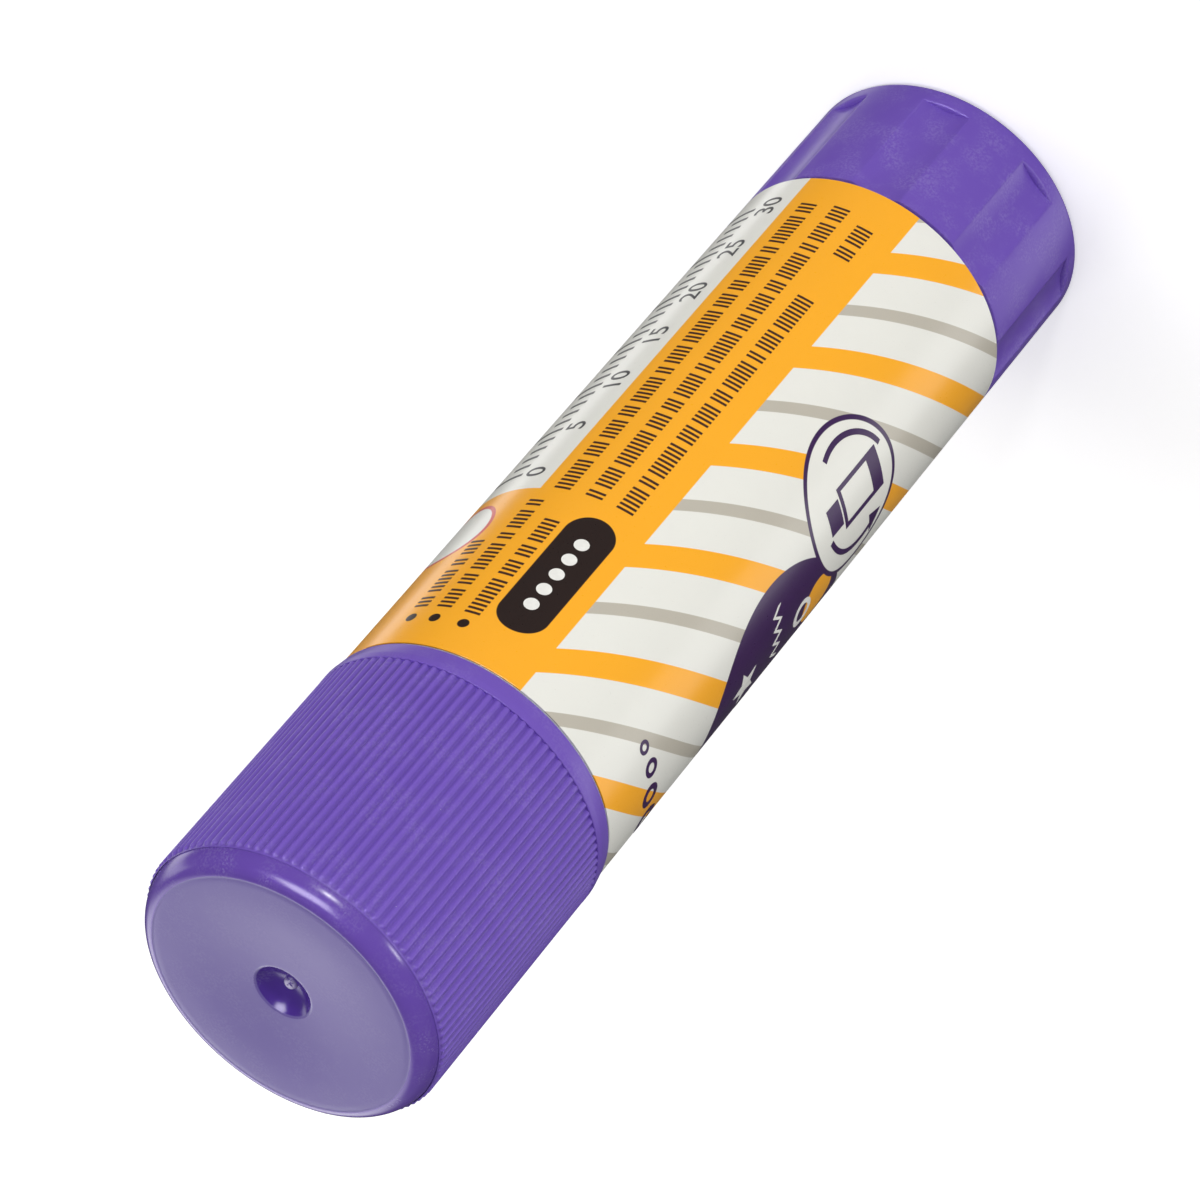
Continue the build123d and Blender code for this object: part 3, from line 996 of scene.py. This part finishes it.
printLook = {
    "lift": 10.302, "thickness": 0.015, "panel": 0.35,  # mm; panel is the widest flat stretch across the curve
    "ink": {"brown": (0.06, 0.022, 0.012, 1), "charcoal": (0.03, 0.03, 0.032, 1),
            "purple": (0.040, 0.008, 0.080, 1), "white": (0.82, 0.815, 0.77, 1)},
    "cloud": 0.4, "fine": 0.2, "toneChange": 0.2, "glossChange": 0.1, "roughness": 0.27,
}
rulerLook = {
    "across": 12.1, "zero": 44.9, "marks": 31, "spacing": 1.0, "every": 5, "short": 1.6, "long": 3.0, "line": 0.26,
    "numbers": 10.75, "numberSize": 2.2,
}
rowLook = (  # arc, upper end, lower end and width of each hatched row
    (10.54, 59.1, 52.2, 1.1), (8.65, 59.1, 47.8, 1.1), (6.51, 59.2, 48.9, 1.1),
    (7.62, 46.6, 14.3, 1.2), (5.30, 46.6, 14.2, 1.2), (3.07, 46.6, 22.6, 1.2), (3.07, 18.6, 14.9, 1.2),
)
hatchLook = {"strokes": (3, 6, 2, 8, 4, 5, 3, 7, 2, 5, 9, 4), "stroke": 0.19, "spacing": 0.4, "gap": 0.75}
pillLook = {"across": 3.755, "top": 56.7, "spacing": 1.51, "dots": 5, "radius": 0.5}
badgeLook = {  # a small stick and a turning arrow, placed from the badge's middle
    "scale": 1.17,
    "plates": ((0, -2.55, 2.7, 1.1), (-1.2, -0.55, 0.3, 2.9), (1.2, -0.55, 0.3, 2.9), (0, 1.05, 2.7, 0.3),
               (0, 2.0, 1.7, 1.3)),
    "arcMiddle": -0.4, "arcOuter": 3.55, "arcInner": 3.2, "arcs": ((110, 205), (-70, 25)),
    "arrow": ((-0.75, 0.25), (0.35, -0.85), (0.7, 0.45)), "arrowTurn": 205, "arrowReach": 3.37,
}
bubbleLook = ((-8.1, 57.75, 0.5, 0.24), (-9.9, 57.55, 0.68, 0.34), (-12.1, 57.8, 0.9, 0.46), (-14.8, 57.5, 1.15, 0.6))


inks = {name: cloudedMaterial(name + "Ink", printLook, colour) for name, colour in printLook["ink"].items()}


def printTree(name, repeated):
    # repeated marks are plain bars on the mesh's points, sized by its own attribute
    inputs = [("Print", "Geometry"), "Radius", ("Finish", "Material")]
    tree, given, out = newTree(name, "GeometryNodeTree", inputs, [("Piece", "Geometry")])
    flat, radius = given["Print"], given["Radius"]
    if repeated:
        bar = field(tree, "GeometryNodeMeshCube", (1, 1, 1), 9, 2, 2)
        size = field(tree, "GeometryNodeInputNamedAttribute", "size", data_type="FLOAT_VECTOR")
        placed = field(tree, "GeometryNodeInstanceOnPoints", flat, None, bar, None, None, None, size)
        flat = field(tree, "GeometryNodeRealizeInstances", placed)
    # x becomes the way round from -Y towards +X, y the height and z the lift off the label
    x, y, z = axesOf(field(tree, "GeometryNodeInputPosition"))
    angle, reach = x / radius, radius + z
    place = field(tree, "ShaderNodeCombineXYZ", reach * maths("SINE", angle), reach * maths("COSINE", angle) * -1, y)
    paintedPiece(tree, field(tree, "GeometryNodeSetPosition", flat, None, place), given, out)
    return tree


barTree = printTree("printedBars", True)
shapeTree = printTree("printedShapes", False)


def printPiece(name, mesh, tree, ink):
    fit(runTree(name, mesh, tree, {"Radius": printLook["lift"] * mm}, inks[ink]), "barrel_body", "label")


def barMesh(name, bars):
    # bars are (middle across, middle up, width, height)
    mesh = bpy.data.meshes.new(name)
    thickness = printLook["thickness"]
    mesh.from_pydata([(x * mm, y * mm, thickness / 2 * mm) for x, y, width, height in bars], [], [])
    size = mesh.attributes.new("size", "FLOAT_VECTOR", "POINT")
    size.data.foreach_set("vector", [value * mm for bar in bars for value in (*bar[2:], thickness)])
    return mesh


def hatched(look, across, top, bottom, width, first):
    # groups of short strokes across the row
    bars, place, index, stroke = [], top, first, look["stroke"]
    while place > bottom:
        for count in range(look["strokes"][index % len(look["strokes"])]):
            if place - stroke > bottom:
                bars.append((across, place - stroke / 2, width, stroke))
            place -= look["spacing"]
        place -= look["gap"] - look["spacing"]
        index += 1
    return bars


def cutFlat(built):
    # cuts wide flat shapes into strips, so that they follow the curve
    places = [vertex.co.x for vertex in built.verts]
    step = printLook["panel"] * mm
    for index in range(int(min(places) / step) - 1, int(max(places) / step) + 2):
        geometry = built.verts[:] + built.edges[:] + built.faces[:]
        bmesh.ops.bisect_plane(built, geom=geometry, dist=1e-9, plane_co=(index * step, 0, 0), plane_no=(1, 0, 0))


def shapeMesh(name, outlines):
    # every outline is a list of points, anticlockwise, in mm, and becomes a thin plate
    built = bmesh.new()
    for outline in outlines:
        built.faces.new([built.verts.new((x * mm, y * mm, 0)) for x, y in outline])
    cutFlat(built)
    made = bmesh.ops.extrude_face_region(built, geom=built.faces[:])["geom"]
    raised = [one for one in made if isinstance(one, bmesh.types.BMVert)]
    bmesh.ops.translate(built, vec=Vector((0, 0, printLook["thickness"])) * mm, verts=raised)
    bmesh.ops.recalc_face_normals(built, faces=built.faces)
    return meshFrom(name, built)


def numberMesh(name, words, size):
    # words are (text, across, up), read down the stick with their tops towards +X
    whole = bmesh.new()
    lift = printLook["thickness"] / 2
    for text, across, up in words:
        curve = bpy.data.curves.new("number", "FONT")
        curve.body = text
        curve.size, curve.extrude = size * mm, lift * mm
        curve.resolution_u = 4
        curve.align_x, curve.align_y = "CENTER", "CENTER"
        holder = addObject("number", curve)
        mesh = evaluatedMesh(holder)
        turned = Matrix.Rotation(radians(-90), 4, "Z")
        mesh.transform(Matrix.Translation(Vector((across, up, lift)) * mm) @ turned)
        whole.from_mesh(mesh)
        bpy.data.objects.remove(holder)
        bpy.data.meshes.remove(mesh)
    cutFlat(whole)
    bmesh.ops.remove_doubles(whole, verts=whole.verts, dist=1e-7)
    return meshFrom(name, whole)


def around(x, y, reach, turn):
    return x + reach * cos(radians(turn)), y + reach * sin(radians(turn))


def ring(x, y, outer, inner=0, start=0, end=360, count=40):
    # a disc, or a ring or arc made of quads
    turns = [start + (end - start) * step / count for step in range(count + 1)]
    if inner == 0:
        return [[around(x, y, outer, turn) for turn in turns[:-1]]]
    return [[around(x, y, inner, low), around(x, y, outer, low), around(x, y, outer, high), around(x, y, inner, high)]
            for low, high in zip(turns, turns[1:])]


def plate(x, y, width, height):
    left, right, low, high = x - width / 2, x + width / 2, y - height / 2, y + height / 2
    return [[(left, low), (right, low), (right, high), (left, high)]]


def star(x, y, outer, inner, points=5):
    return [[around(x, y, reach, 90 + 180 * step / points) for step, reach in enumerate([outer, inner] * points)]]


def zigzag(x, y, width, height, teeth, line):
    # a band of even teeth, such as pinking shears cut
    parts = []
    for half in range(2 * teeth):
        left, right = (x + width * (half + more) / 2 / teeth for more in (0, 1))
        low, high = (y, y + height) if half % 2 == 0 else (y + height, y)
        parts.append([(left, low), (right, high), (right, high + line), (left, low + line)])
    return parts


def badgeDrawing(look, x, y):
    drawing = [outline for one in look["plates"] for outline in plate(*one)]
    for start, end in look["arcs"]:
        drawing += ring(0, look["arcMiddle"], look["arcOuter"], look["arcInner"], start, end, 24)
    end = around(0, look["arcMiddle"], look["arrowReach"], look["arrowTurn"])
    drawing.append([(end[0] + across, end[1] + rise) for across, rise in look["arrow"]])
    return [[(x + look["scale"] * across, y + look["scale"] * rise) for across, rise in outline]
            for outline in drawing]


def fieldDrawing(x, y):
    # cut-paper shapes
    shapes = star(x + 3.6, y + 3.9, 1.5, 0.65) + zigzag(x + 2.6, y - 0.6, 4.6, 0.8, 4, 0.35)
    shapes += ring(x + 4.0, y - 3.4, 1.1, 0.7) + plate(x + 0.2, y + 2.6, 1.6, 1.6) + ring(x - 1.0, y - 2.6, 1.0)
    return shapes + star(x - 3.4, y + 1.2, 1.3, 0.55)


def makePrint():
    ruler, pill = rulerLook, pillLook
    ticks, words = [], []
    for mark in range(ruler["marks"]):
        numbered = mark % ruler["every"] == 0
        length = ruler["long"] if numbered else ruler["short"]
        place = ruler["zero"] - mark * ruler["spacing"]
        ticks.append((ruler["across"] + length / 2, place, length, ruler["line"]))
        if numbered:
            words.append((str(mark), ruler["numbers"], place))
    printPiece("rulerMarks", barMesh("rulerMarks", ticks), barTree, "charcoal")
    printPiece("rulerNumbers", numberMesh("rulerNumbers", words, ruler["numberSize"]), shapeTree, "charcoal")
    bars = [bar for index, row in enumerate(rowLook) for bar in hatched(hatchLook, *row, 5 * index)]
    printPiece("hatchedRows", barMesh("hatchedRows", bars), barTree, "brown")
    dots = [ring(pill["across"], pill["top"] - index * pill["spacing"], pill["radius"])[0]
            for index in range(pill["dots"])]
    bubbles = [quad for one in bubbleLook for quad in ring(*one)]
    for name, shapes, ink in (
        ("pillDots", dots, "white"),
        ("badgeDrawing", badgeDrawing(badgeLook, *labelLook["badge"][:2]), "purple"),
        ("fieldShapes", fieldDrawing(*labelLook["field"][:2]), "white"),
        ("bubbles", bubbles, "purple"),
    ):
        printPiece(name, shapeMesh(name, shapes), shapeTree, ink)


makePrint()

print("all pieces made")
